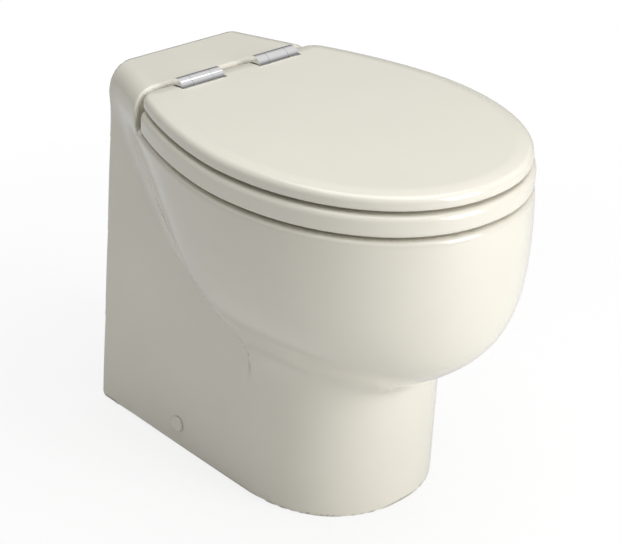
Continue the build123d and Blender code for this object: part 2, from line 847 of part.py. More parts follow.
def macerator_blade():
    blade = block(-blade_reach, blade_reach, blade_y, impeller_y, pump_axis_z - blade_half,
                  pump_axis_z + blade_half)
    return blade - rod_y(shaft_r + fit, blade_y - 1, impeller_y + 1)


def impeller():
    disc_y = impeller_y + axial_gap + vane_height
    wheel = rod_y(impeller_hub_r, impeller_y, disc_y + impeller_disc)
    wheel += rod_y(impeller_r, disc_y, disc_y + impeller_disc)
    reach = sqrt((impeller_r - 1) ** 2 - impeller_hub_r ** 2)
    vane = block(0, reach, disc_y - vane_height, disc_y + impeller_disc / 2,
                 pump_axis_z + impeller_hub_r - 1 - vane_thick, pump_axis_z + impeller_hub_r - 1)
    axis = Axis((0, 0, pump_axis_z), (0, 1, 0))
    for i in range(vane_count):
        wheel += vane.rotate(axis, 360 * i / vane_count)
    return wheel - rod_y(shaft_r + fit, impeller_y - 1, disc_y + impeller_disc + 1)


def blade_nut():
    nut = rod_y(shaft_r + 3, chamber_y + 1, blade_y)
    return nut - rod_y(shaft_r + fit, chamber_y, blade_y + 1)


def ring_y(outer_r, inner_r, y0, y1):
    return rod_y(outer_r, y0, y1) - rod_y(inner_r, y0 - 1, y1 + 1)


through_bolt_r = motor_r - motor_wall - screw_head_r


def through_bolt_rods(r, y0, y1):
    return (rod_y(r, y0, y1, 0, pump_axis_z + through_bolt_r)
            + rod_y(r, y0, y1, 0, pump_axis_z - through_bolt_r))


front_bearing_y = motor_y + motor_wall
rear_bearing_y = motor_end_y
armature_y = front_bearing_y + bearing_length + 6
commutator_y = armature_y + armature_length + 1


def motor_can():
    can = rod_y(motor_r, motor_y, motor_end_y)
    inner = motor_r - motor_wall
    cavity = rod_y(inner, front_bearing_y, motor_end_y + 1)
    cavity -= rod_y(bearing_r + motor_wall, front_bearing_y, front_bearing_y + bearing_length)
    can -= cavity
    can -= rod_y(bearing_r + fit, front_bearing_y, front_bearing_y + bearing_length + 1)
    can -= rod_y(shaft_r + 1, motor_y - 1, front_bearing_y + 1)
    return can - through_bolt_rods(screw_r + fit, motor_y - 1, front_bearing_y + 1)


def motor_end_cap():
    cap = rod_y(motor_r, motor_end_y, motor_end_y + motor_cap_thick)
    cap -= rod_y(bearing_r + fit, motor_end_y - 1, rear_bearing_y + bearing_length)
    return cap - through_bolt_rods(screw_r + fit, motor_end_y - 1, motor_end_y + motor_cap_thick + 1)


def magnets():
    outer = motor_r - motor_wall - fit
    ring = ring_y(outer, outer - magnet_thick, armature_y, armature_y + armature_length)
    cut = block(-12, 12, armature_y - 1, armature_y + armature_length + 1,
                pump_axis_z - motor_r, pump_axis_z + motor_r)
    return ring - cut


def armature():
    """Laminated core on the shaft, with open slots between its poles."""
    core = rod_y(armature_r, armature_y, armature_y + armature_length)
    core -= rod_y(shaft_r + fit, armature_y - 1, armature_y + armature_length + 1)
    axis = Axis((0, 0, pump_axis_z), (0, 1, 0))
    slot = block(armature_r - 11, armature_r + 1, armature_y - 1, armature_y + armature_length + 1,
                 pump_axis_z - 2, pump_axis_z + 2)
    for i in range(8):
        core -= slot.rotate(axis, 45 * i)
    return core


brush_y = commutator_y + commutator_length / 2


def brushes():
    brush = block(commutator_r + 0.3, commutator_r + 14, brush_y - brush_half, brush_y + brush_half,
                  pump_axis_z - brush_half, pump_axis_z + brush_half)
    return both_sides(brush)


def brush_ring():
    outer = motor_r - motor_wall - fit
    ring = ring_y(outer, commutator_r + 3, brush_y - brush_half - 1.5, brush_y + brush_half + 1.5)
    gap = brush_half + fit
    slot = block(0, commutator_r + 14 + fit, brush_y - gap, brush_y + gap,
                 pump_axis_z - gap, pump_axis_z + gap)
    ring -= both_sides(slot)
    return ring - through_bolt_rods(screw_r + fit, brush_y - 10, brush_y + 10)


def through_bolts():
    end = motor_end_y + motor_cap_thick
    bolts = through_bolt_rods(screw_r, motor_y - 5, end)
    return bolts + through_bolt_rods(screw_head_r, end, end + screw_head_h)


cradle_y = motor_y + 24
cradle_leg_x = motor_r - 10


def motor_cradle():
    y1 = cradle_y + cradle_width
    saddle = rod_y(motor_r + fit + cradle_thick, cradle_y, y1)
    leg = block(cradle_leg_x, cradle_leg_x + cradle_thick, cradle_y, y1, foot_height, pump_axis_z)
    cradle = saddle + both_sides(leg)
    cradle += block(-cradle_half, cradle_half, cradle_y, y1, foot_height, foot_height + cradle_thick)
    return cradle - rod_y(motor_r + fit, cradle_y - 1, y1 + 1)


def cradle_feet():
    places = corners(0, cradle_y + cradle_width / 2, cradle_half - foot_r - 1, cradle_width / 4)
    return together([rod_z(foot_r, 0, foot_height, x, y) for x, y in places])


add("outlet_sleeve", outlet_sleeve())
add("sleeve_clamps", sleeve_clamps())
add("pump_casing", pump_casing())
add("pump_back_plate", pump_back_plate())
add("cutter_plate", cutter_plate())
add("macerator_blade", macerator_blade())
add("impeller", impeller())
add("blade_nut", blade_nut())
shaft_end_y = rear_bearing_y + bearing_length - 1
add("motor_shaft", rod_y(shaft_r, chamber_y + 1, shaft_end_y))
add("shaft_seal", ring_y(seal_r, shaft_r + run, back_y, motor_y))
add("casing_screws", screw_ring(screw_r, back_y - flange_thick, motor_y)
    + screw_ring(screw_head_r, motor_y, motor_y + screw_head_h))
add("motor_can", motor_can())
add("motor_end_cap", motor_end_cap())
add("front_bearing", ring_y(bearing_r, shaft_r + run, front_bearing_y, front_bearing_y + bearing_length))
add("rear_bearing", ring_y(bearing_r, shaft_r + run, rear_bearing_y, rear_bearing_y + bearing_length))
add("motor_magnets", magnets())
add("armature", armature())
add("commutator", ring_y(commutator_r, shaft_r + fit, commutator_y, commutator_y + commutator_length))
add("brush_ring", brush_ring())
add("carbon_brushes", brushes())
add("through_bolts", through_bolts())
add("motor_cradle", motor_cradle())
add("cradle_feet", cradle_feet())


# Discharge: non-return valve on top of the riser, and the hose spigot behind it

valve_floor_z = riser_top_z + valve_wall
valve_top_z = riser_top_z + valve_height
land_z = valve_floor_z + seat_land_rise
flap_z = land_z + fit
flap_pin_y = riser_y - flap_r + 1
flap_pin_z = flap_z + flap_thick + 1.4
flap_barrel_r = flap_pin_r + 1.6
spigot_z = riser_top_z + spigot_rise
valve_back_y = riser_y + valve_half_y + valve_wall


def valve_block(grow, z0, z1):
    half_x = valve_half_x + grow
    half_y = valve_half_y + grow
    return block(riser_x - half_x, riser_x + half_x, riser_y - half_y, riser_y + half_y, z0, z1)


def cover_rods(r, z0, z1):
    half_x = valve_half_x + valve_wall / 2
    half_y = valve_half_y + valve_wall / 2
    return together([rod_z(r, z0, z1, x, y) for x, y in corners(riser_x, riser_y, half_x, half_y)])


def spigot_rods(r, y0, y1):
    places = corners(riser_x, spigot_z, spigot_screw_step, spigot_screw_step)
    return together([rod_y(r, y0, y1, x, z) for x, z in places])


def valve_body():
    body = valve_block(valve_wall, riser_top_z, valve_top_z) - valve_block(0, valve_floor_z, valve_top_z + 1)
    body += rod_z(seat_land_r, valve_floor_z, land_z, riser_x, riser_y)
    body -= rod_z(riser_r, riser_top_z - 1, land_z + 1, riser_x, riser_y)
    body -= rod_y(spigot_bore_r, riser_y, valve_back_y + 1, riser_x, spigot_z)
    body -= spigot_rods(small_screw_r + fit, valve_back_y - small_screw_bite, valve_back_y + 1)
    half = valve_half_x + valve_wall / 2
    body -= rod_x(flap_pin_r + fit, riser_x - half, riser_x + half, flap_pin_y, flap_pin_z)
    return body


def valve_cover():
    cover = valve_block(valve_wall, valve_top_z, valve_top_z + cover_thick)
    return cover - cover_rods(small_screw_r - fit, valve_top_z - 1, valve_top_z + cover_thick + 1)


def valve_flap():
    flap = rod_z(flap_r, flap_z, flap_z + flap_thick, riser_x, riser_y)
    ends = (riser_x - hinge_barrel_half, riser_x + hinge_barrel_half)
    flap += rod_x(flap_barrel_r, *ends, flap_pin_y, flap_pin_z)
    flap += block(*ends, flap_pin_y, flap_pin_y + hinge_barrel_half, flap_z, flap_pin_z)
    return flap - rod_x(flap_pin_r + run, ends[0] - 5, ends[1] + 5, flap_pin_y, flap_pin_z)


def flap_pin():
    half = valve_half_x + valve_wall / 2 - fit
    return rod_x(flap_pin_r, riser_x - half, riser_x + half, flap_pin_y, flap_pin_z)


def discharge_spigot():
    """Flanged hose tail. Its saw-tooth barbs stand no higher than the plain part."""
    side = valve_half_x + valve_wall
    y1 = valve_back_y + spigot_flange_thick
    spigot = block(riser_x - side, riser_x + side, valve_back_y, y1,
                   spigot_z - spigot_flange_half, spigot_z + spigot_flange_half)
    barbs_y = spigot_end_y - barb_count * barb_pitch
    spigot += rod_y(spigot_r, y1, barbs_y, riser_x, spigot_z)
    for i in range(barb_count):
        barb = Cone(spigot_r, spigot_r - barb_height, barb_pitch)
        spigot += Pos(riser_x, barbs_y + barb_pitch * (i + 0.5), spigot_z) * Rot(-90, 0, 0) * barb
    spigot -= rod_y(spigot_bore_r, valve_back_y - 1, spigot_end_y + 1, riser_x, spigot_z)
    return spigot - spigot_rods(small_screw_r + fit, valve_back_y - 1, y1 + 1)


def spigot_screws():
    y1 = valve_back_y + spigot_flange_thick
    shanks = spigot_rods(small_screw_r, valve_back_y - small_screw_bite, y1)
    return shanks + spigot_rods(small_screw_head_r, y1, y1 + small_screw_head_h)


add("valve_body", valve_body())
add("valve_cover", valve_cover())
add("valve_flap", valve_flap())
add("flap_pin", flap_pin())
add("discharge_spigot", discharge_spigot())
add("spigot_screws", spigot_screws())


# Water valve, its coil and plunger, and the hose to the nozzle under the rim

water_mid_y = panel_rear_y + water_body_length / 2
chamber_floor_z = water_z + water_bore_r + 2
water_top_z = water_z + water_body_half
plunger_z = chamber_floor_z
guide_top_z = water_top_z + coil_height + 2
guide_out_r = plunger_r + run + guide_wall
spring_z = plunger_z + plunger_length
outlet_tip_y = panel_front_y - 20


def water_valve_body():
    body = block(valve_x - water_body_half, valve_x + water_body_half, panel_rear_y,
                 panel_rear_y + water_body_length, water_z - water_body_half, water_top_z)
    body += rod_y(water_spigot_r, panel_rear_y + water_body_length - 1, inlet_end_y, valve_x, water_z)
    body += rod_y(water_spigot_r, outlet_tip_y, panel_rear_y + 1, valve_x, water_z)
    body -= rod_y(water_bore_r, water_mid_y + 5, inlet_end_y + 1, valve_x, water_z)
    body -= rod_y(water_bore_r, outlet_tip_y - 1, water_mid_y + 3, valve_x, water_z)
    body -= rod_z(10, chamber_floor_z, chamber_floor_z + 5, valve_x, water_mid_y)
    body -= rod_z(2, water_z, chamber_floor_z + 1, valve_x, water_mid_y)
    body -= rod_z(1.5, water_z, chamber_floor_z + 1, valve_x, water_mid_y + 7.5)
    return body - rod_z(plunger_r + run, chamber_floor_z, water_top_z + 1, valve_x, water_mid_y)


def plunger_guide():
    guide = rod_z(guide_out_r, water_top_z, guide_top_z, valve_x, water_mid_y)
    guide -= rod_z(plunger_r + run, water_top_z - 1, guide_top_z - 3, valve_x, water_mid_y)
    return guide


def solenoid_coil():
    z1 = water_top_z + coil_height
    coil = rod_z(coil_r, water_top_z, z1, valve_x, water_mid_y)
    coil += block(valve_x - 6, valve_x + 6, water_mid_y, water_mid_y + coil_r + 8, water_top_z + 5, z1 - 6)
    return coil - rod_z(guide_out_r + fit, water_top_z - 1, z1 + 1, valve_x, water_mid_y)


def plunger_spring():
    height = guide_top_z - 3 - spring_z - 2 * fit
    pitch = (height - spring_wire) / spring_turns
    path = Helix(pitch, pitch * spring_turns, plunger_r - 1.6)
    wire_face = Plane(origin=path @ 0, z_dir=path % 0) * Circle(spring_wire / 2)
    coil = sweep(wire_face, path, is_frenet=True)
    return Pos(valve_x, water_mid_y, spring_z + fit + spring_wire / 2) * coil


def rinse_nozzle():
    """Elbow through the bowl's rear wall, with a fan plate inside the bowl."""
    tip_y = nozzle_wall_y - nozzle_reach
    flange_y = nozzle_wall_y + nozzle_flange_thick
    body = rod_y(nozzle_r, tip_y, elbow_y + nozzle_r, 0, nozzle_z)
    body += rod_y(nozzle_flange_r, flange_y, flange_y + nozzle_flange_thick, 0, nozzle_z)
    body += rod_y(nozzle_r + 4, tip_y - 2, tip_y + 1, 0, nozzle_z)
    body += rod_z(water_spigot_r, nozzle_z - elbow_drop, nozzle_z, 0, elbow_y)
    body -= rod_z(water_bore_r, nozzle_z - elbow_drop - 1, nozzle_z, 0, elbow_y)
    return body - rod_y(water_bore_r, tip_y + 2, elbow_y, 0, nozzle_z)


def rinse_hose():
    bore = water_spigot_r + fit
    start = Vector(valve_x, outlet_tip_y + hose_overlap, water_z)
    turn = Vector(valve_x, outlet_tip_y - hose_lead, water_z)
    under = Vector(0, elbow_y, water_z + 4)
    end = Vector(0, elbow_y, nozzle_z - elbow_drop + hose_overlap)
    radii = []
    for a, b, c in ((start, turn, under), (turn, under, end)):
        half_turn = radians((b - a).get_angle(c - b)) / 2
        radii.append(0.45 * min((b - a).length, (c - b).length) / tan(half_turn))
    path = FilletPolyline(start, turn, under, end, radius=radii)
    ring = Circle(bore + hose_wall) - Circle(bore)
    return sweep(Plane(origin=path @ 0, z_dir=path % 0) * ring, path)


add("water_valve_body", water_valve_body())
add("plunger_guide", plunger_guide())
add("solenoid_coil", solenoid_coil())
add("plunger", rod_z(plunger_r, plunger_z, plunger_z + plunger_length, valve_x, water_mid_y))
add("plunger_spring", plunger_spring())
add("rinse_nozzle", rinse_nozzle())
add("rinse_hose", rinse_hose())


# Control box on the bracket, with its board, cover and cable gland

box_top_z = shelf_z - panel_thick - box_below_bracket
box_bottom_z = box_top_z - box_height
box_back_y = panel_rear_y + box_depth
gland_x = box_x + gland_out
gland_y = panel_rear_y + box_depth / 2


def box_block(grow, y0, y1):
    return block(box_x - box_half + grow, box_x + box_half - grow, y0, y1,
                 box_bottom_z + grow, box_top_z - grow)


def box_rods(r, y0, y1):
    middle_z = (box_top_z + box_bottom_z) / 2
    places = corners(box_x, middle_z, box_half - post_in, box_height / 2 - post_in)
    return together([rod_y(r, y0, y1, x, z) for x, z in places])


def control_box():
    shell = box_block(0, panel_rear_y, box_back_y)
    shell -= box_block(box_wall, panel_rear_y + box_wall, box_back_y + 1)
    shell += box_rods(small_screw_r + post_wall, panel_rear_y + box_wall - 1, box_back_y)
    shell -= box_rods(small_screw_r + fit, panel_rear_y + box_depth / 3, box_back_y + 1)
    return shell - rod_z(gland_bore_r + 2, box_bottom_z - 1, box_bottom_z + box_wall + 1, gland_x, gland_y)


def box_cover():
    cover = box_block(0, box_back_y, box_back_y + box_wall)
    return cover - box_rods(small_screw_r + fit, box_back_y - 1, box_back_y + box_wall + 1)


def cover_screws():
    y1 = box_back_y + box_wall
    shanks = box_rods(small_screw_r, panel_rear_y + box_depth / 3 + 2, y1)
    return shanks + box_rods(small_screw_head_r, y1, y1 + small_screw_head_h)


def circuit_board():
    """Board clipped between the four corner posts, with its relay and capacitor."""
    y = panel_rear_y + box_wall + 0.2
    board = block(box_x - 14, box_x + 14, y, y + 1.6, box_bottom_z + 6, box_top_z - 6)
    board += block(box_x - 11, box_x + 3, y + 1.6, y + 14, box_top_z - 24, box_top_z - 10)
    return board + rod_y(5, y + 1.6, y + 18, box_x + 7, box_bottom_z + 18)


def cable_gland():
    top = box_bottom_z + box_wall + gland_lip
    gland = rod_z(gland_r, box_bottom_z - gland_length, box_bottom_z, gland_x, gland_y)
    gland += rod_z(gland_bore_r + 2 - fit, box_bottom_z, top, gland_x, gland_y)
    return gland - rod_z(gland_bore_r, box_bottom_z - gland_length - 1, top + 1, gland_x, gland_y)


add("control_box", control_box())
add("box_cover", box_cover())
add("cover_screws", cover_screws())
add("circuit_board", circuit_board())
add("cable_gland", cable_gland())


os.makedirs("parts", exist_ok=True)
for name, shape in nodes.items():
    export_step(shape, f"parts/{name}.step")
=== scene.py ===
import bmesh
import bpy
import math
import numpy as np
from mathutils import Matrix, Vector


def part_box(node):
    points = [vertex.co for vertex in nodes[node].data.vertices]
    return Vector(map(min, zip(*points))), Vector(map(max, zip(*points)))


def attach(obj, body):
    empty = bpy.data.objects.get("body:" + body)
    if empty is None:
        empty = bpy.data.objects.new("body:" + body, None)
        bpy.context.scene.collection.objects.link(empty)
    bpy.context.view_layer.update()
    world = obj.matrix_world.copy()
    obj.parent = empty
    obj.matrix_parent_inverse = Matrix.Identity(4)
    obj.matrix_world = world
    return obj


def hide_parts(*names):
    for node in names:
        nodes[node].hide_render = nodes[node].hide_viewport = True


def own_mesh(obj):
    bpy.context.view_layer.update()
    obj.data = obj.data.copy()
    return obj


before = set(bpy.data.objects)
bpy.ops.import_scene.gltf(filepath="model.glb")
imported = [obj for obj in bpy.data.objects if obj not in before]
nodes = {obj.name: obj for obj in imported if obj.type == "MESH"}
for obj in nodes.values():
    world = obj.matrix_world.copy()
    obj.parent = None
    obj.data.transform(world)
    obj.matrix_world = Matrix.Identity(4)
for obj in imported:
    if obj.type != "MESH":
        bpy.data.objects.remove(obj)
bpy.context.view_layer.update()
scene = bpy.context.scene
scene.view_settings.view_transform = "Standard"


# The camera stands ahead of the toilet and to its left, at the photograph's height.
camera_data = bpy.data.cameras.new("camera")
camera_data.lens = 104.62
camera_data.sensor_width = 36.0
camera_data.clip_end = 20.0
camera = bpy.data.objects.new("camera", camera_data)
scene.collection.objects.link(camera)
scene.camera = camera
camera_right = Vector((0.72201, -0.69039, 0.04548))
camera_up = Vector((0.29168, 0.36334, 0.88482))
camera_back = Vector((-0.62739, -0.62558, 0.46371))
camera_turn = Matrix((camera_right, camera_up, camera_back)).transposed()
camera.matrix_world = Matrix.Translation((-1.27220, -1.25517, 1.16705)) @ camera_turn.to_4x4()


# Soft studio light: a tall box ahead of the toilet and a little to its right, and a
# broad one overhead. The room itself is pale and lights every side evenly.
def light_box(name, place, size, power):
    data = bpy.data.lights.new(name, "AREA")
    data.shape = "RECTANGLE"
    data.size, data.size_y = size
    data.energy = power
    lamp = bpy.data.objects.new(name, data)
    scene.collection.objects.link(lamp)
    aim = Vector((0.0, 0.0, 0.25)) - Vector(place)
    lamp.matrix_world = Matrix.Translation(place) @ aim.to_track_quat("-Z", "Y").to_matrix().to_4x4()


light_box("front_box", (0.6, -1.90, 1.0), (1.0, 1.4), 28.0)
light_box("top_box", (0.1, -0.1, 2.2), (1.8, 1.8), 22.0)

world = bpy.data.worlds.new("pale_room")
scene.world = world
world.use_nodes = True
sky = world.node_tree
sky.nodes.clear()
sky_out = sky.nodes.new("ShaderNodeOutputWorld")
seen_white = sky.nodes.new("ShaderNodeBackground")
seen_white.inputs["Color"].default_value = (1.0, 1.0, 1.0, 1.0)
room_light = sky.nodes.new("ShaderNodeBackground")
room_light.inputs["Color"].default_value = (1.0, 1.0, 1.0, 1.0)
room_light.inputs["Strength"].default_value = 0.42
light_path = sky.nodes.new("ShaderNodeLightPath")

# In a reflection the room is white overhead and darker towards the horizon, as in a
# studio whose walls lie outside the light, so that bright metal shows its form.
mirrored_room = sky.nodes.new("ShaderNodeBackground")
room_side = sky.nodes.new("ShaderNodeTexCoord")
room_height = sky.nodes.new("ShaderNodeSeparateXYZ")
room_tone = sky.nodes.new("ShaderNodeMapRange")
room_tone.interpolation_type = "SMOOTHSTEP"
room_tone.inputs["From Min"].default_value = 0.15
room_tone.inputs["From Max"].default_value = 0.75
room_tone.inputs["To Min"].default_value = 0.25
room_tone.inputs["To Max"].default_value = 1.0
sky.links.new(room_side.outputs["Generated"], room_height.inputs["Vector"])
sky.links.new(room_height.outputs["Z"], room_tone.inputs["Value"])
sky.links.new(room_tone.outputs["Result"], mirrored_room.inputs["Strength"])
room_mix = sky.nodes.new("ShaderNodeMixShader")
sky.links.new(light_path.outputs["Is Glossy Ray"], room_mix.inputs["Fac"])
sky.links.new(room_light.outputs["Background"], room_mix.inputs[1])
sky.links.new(mirrored_room.outputs["Background"], room_mix.inputs[2])
sky_mix = sky.nodes.new("ShaderNodeMixShader")
sky.links.new(light_path.outputs["Is Camera Ray"], sky_mix.inputs["Fac"])
sky.links.new(room_mix.outputs["Shader"], sky_mix.inputs[1])
sky.links.new(seen_white.outputs["Background"], sky_mix.inputs[2])
sky.links.new(sky_mix.outputs["Shader"], sky_out.inputs["Surface"])


# The pale floor, which isn't part of the toilet. It shows white to the camera and
# keeps the toilet's shadow.
floor_mesh = bpy.data.meshes.new("studio_floor")
floor_mesh.from_pydata([(-4, -4, 0), (4, -4, 0), (4, 4, 0), (-4, 4, 0)], [], [(0, 1, 2, 3)])
studio_floor = bpy.data.objects.new("studio_floor", floor_mesh)
scene.collection.objects.link(studio_floor)
studio_floor.location.z = -0.0005
floor_paint = bpy.data.materials.new("studio_floor")
floor_paint.use_nodes = True
floor_tree = floor_paint.node_tree
floor_shader = floor_tree.nodes["Principled BSDF"]
floor_shader.inputs["Base Color"].default_value = (0.77, 0.77, 0.77, 1)
floor_shader.inputs["Roughness"].default_value = 0.7
floor_glow = floor_tree.nodes.new("ShaderNodeEmission")
floor_shade = floor_tree.nodes.new("ShaderNodeBsdfDiffuse")
floor_shade.inputs["Color"].default_value = (0.93, 0.93, 0.93, 1)
floor_seen = floor_tree.nodes.new("ShaderNodeMixShader")

# The floor's shade fades to plain white away from the toilet, so its edge never shows.
floor_place = floor_tree.nodes.new("ShaderNodeTexCoord")
floor_reach = floor_tree.nodes.new("ShaderNodeVectorMath")
floor_reach.operation = "LENGTH"
floor_fade = floor_tree.nodes.new("ShaderNodeMapRange")
floor_fade.interpolation_type = "SMOOTHSTEP"
floor_fade.inputs["From Min"].default_value = 0.35
floor_fade.inputs["From Max"].default_value = 1.10
floor_fade.inputs["To Min"].default_value = 0.18
floor_fade.inputs["To Max"].default_value = 0.0
floor_tree.links.new(floor_place.outputs["Object"], floor_reach.inputs["Vector"])
floor_tree.links.new(floor_reach.outputs["Value"], floor_fade.inputs["Value"])
floor_tree.links.new(floor_fade.outputs["Result"], floor_seen.inputs["Fac"])
floor_tree.links.new(floor_glow.outputs["Emission"], floor_seen.inputs[1])
floor_tree.links.new(floor_shade.outputs["BSDF"], floor_seen.inputs[2])
floor_path = floor_tree.nodes.new("ShaderNodeLightPath")
floor_mix = floor_tree.nodes.new("ShaderNodeMixShader")
floor_tree.links.new(floor_path.outputs["Is Camera Ray"], floor_mix.inputs["Fac"])
floor_tree.links.new(floor_shader.outputs["BSDF"], floor_mix.inputs[1])
floor_tree.links.new(floor_seen.outputs["Shader"], floor_mix.inputs[2])
floor_tree.links.new(floor_mix.outputs["Shader"], floor_tree.nodes["Material Output"].inputs["Surface"])
floor_mesh.materials.append(floor_paint)


# China body: one slip-cast piece of glazed vitreous china, with the bowl, the full skirt
# and the raised rear deck in one. The pump room behind is open. It is made here as a
# solid described by its distance from a point, and skinned where that distance is zero.
rim_z = 0.3836
deck_z = 0.4283
rear_y = 0.246
widest_y = -0.0213
hinge_y = 0.1466
lid_half_width = 0.1766
lid_front = 0.2178
lid_tail = 0.3094
barrel_radius = 0.0119
lid_rear_y = hinge_y + barrel_radius
lid_front_power = 2.12
lid_tail_power = 1.635
skirt_wall = 0.012
bowl_wall = 0.011
foot_half_width = 0.1182
foot_front = 0.127
bowl_plan_power = 2.2
rear_foot_half = 0.1158
rear_taper = 0.0395
rim_overhang = 0.0074
rim_tuck = 0.0028
rim_tuck_height = 0.058
side_turn_down = 0.1256
side_turn_softness = 0.018
front_turn_down = 0.1696
front_turn_softness = 0.020
front_turn_slope = 1.65
tail_slope = 1.05
tail_turn_down = 0.1216
tail_turn = 20
valley_breadth = 0.062
mouth_z = 0.3596
sump_z = 0.075
pump_axis_z = 0.100
outlet_bore = 0.022
outlet_neck = 0.032


def super_radius(c, s, half, length, power):
    return ((np.abs(c) / half) ** power + (np.abs(s) / length) ** power) ** (-1 / power)


def soft_ramp(height, softness):
    return softness * np.logaddexp(0, height / softness)


def soft_max(p, q, breadth):
    near = np.maximum(breadth - np.abs(p - q), 0) / breadth
    return np.maximum(p, q) + near ** 3 * breadth / 6


def round_max(p, q, r):
    """Both at once, with a true round of radius r where the two surfaces meet."""
    outside = np.hypot(np.maximum(p + r, 0), np.maximum(q + r, 0)) - r
    return outside + np.minimum(np.maximum(p + r, q + r), 0)


def outline(x, y, front_radius, rear_half):
    """Distance from an outline given by a radius ahead of the widest line and by a
    half-width behind it."""
    ahead = y - widest_y
    rho = np.maximum(np.hypot(x, ahead), 1e-6)
    front = rho - front_radius(np.abs(x) / rho, ahead / rho)
    return np.where(ahead < 0, front, np.abs(x) - rear_half)


def plate_distance(x, y, offset, end_y, corner):
    half = lid_half_width + offset
    front = lambda c, s: super_radius(c, s, half, lid_front + offset, lid_front_power)
    along = np.maximum(y - widest_y, 0) / (lid_tail + offset)
    rear_half = half * np.maximum(1 - along ** lid_tail_power, 0) ** (1 / lid_tail_power)
    return round_max(outline(x, y, front, rear_half), y - end_y, corner)


def china_side(x, y, z, shift=0.0):
    level = np.maximum(z - shift, 0)
    down = rim_z - level
    near_rim = np.clip(1 - down / rim_tuck_height, 0, 1)
    out = rim_overhang - rim_tuck * near_rim ** 2
    side_turn = soft_ramp(down - side_turn_down, side_turn_softness)
    front_turn = front_turn_slope * soft_ramp(down - front_turn_down, front_turn_softness)
    half = np.maximum(lid_half_width + out - side_turn, 0.005)
    front = np.maximum(lid_front + out - front_turn, 0.005)
    tail = lid_tail - tail_slope * down - tail_turn * np.maximum(down - tail_turn_down, 0) ** 2
    tail = np.maximum(tail, 0.005)
    along = np.maximum(y - widest_y, 0)
    bowl_half = half * np.maximum(1 - (along / tail) ** lid_tail_power, 0) ** (1 / lid_tail_power)
    at_rear = rear_foot_half - rear_taper * level
    column = foot_half_width - (foot_half_width - at_rear) * (along / (rear_y - widest_y)) ** 1.3

    def radius(c, s):
        bowl = super_radius(c, s, half, front, lid_front_power)
        base = super_radius(c, s, foot_half_width, foot_front, bowl_plan_power)
        return soft_max(bowl, base, 0.020 + 0.042 * c ** 2)

    return outline(x, y, radius, soft_max(bowl_half, column, valley_breadth))


def bowl_inside(x, y, z, grow=0.0):
    share = np.clip((z - sump_z) / (mouth_z - sump_z), 0, 1)
    swell = share ** 0.75
    above = np.clip((z - mouth_z) / 0.020, 0, 1)
    half = 0.030 + 0.102 * swell - 0.012 * above + grow
    length = 0.033 + 0.123 * swell - 0.006 * above + grow
    ahead = y + 0.020 + 0.038 * share
    rho = np.maximum(np.hypot(x, ahead), 1e-6)
    side = rho - super_radius(x / rho, ahead / rho, half, length, bowl_plan_power)
    return round_max(side, (sump_z - grow) - z, 0.014)


def china(x, y, z):
    outer = round_max(china_side(x, y, z), z - deck_z, 0.038)
    rise = np.clip((z - rim_z) / (deck_z - rim_z), 0, 1)
    recess = plate_distance(x, y, 0.0085 + 0.0016 * rise, lid_rear_y + 0.0046, 0.0175)
    recess = round_max(recess, rim_z - z, 0.003)
    bowl = bowl_inside(x, y, z)
    pipe = np.hypot(x, z - pump_axis_z)
    body = round_max(outer, -recess, 0.0055)
    body = round_max(body, -bowl, 0.007)
    room = round_max(china_side(x, y, z, 0.0072) + skirt_wall, z - (deck_z - 0.012), 0.026)
    room = round_max(room, -bowl_inside(x, y, z, bowl_wall), 0.008)
    room = round_max(room, -np.maximum(pipe - outlet_neck, y - 0.084), 0.006)
    under_rim = plate_distance(x, y, 0.0205, lid_rear_y + 0.0166, 0.0295)
    room = round_max(room, -np.maximum(under_rim, (rim_z - 0.012) - z), 0.006)
    body = round_max(body, -room, 0.003)
    body = round_max(body, y - rear_y, 0.003)
    body = round_max(body, -z, 0.0025)
    outlet = np.maximum(pipe - outlet_bore, np.maximum(y - 0.09, -0.02 - y))
    return np.maximum(body, -outlet)


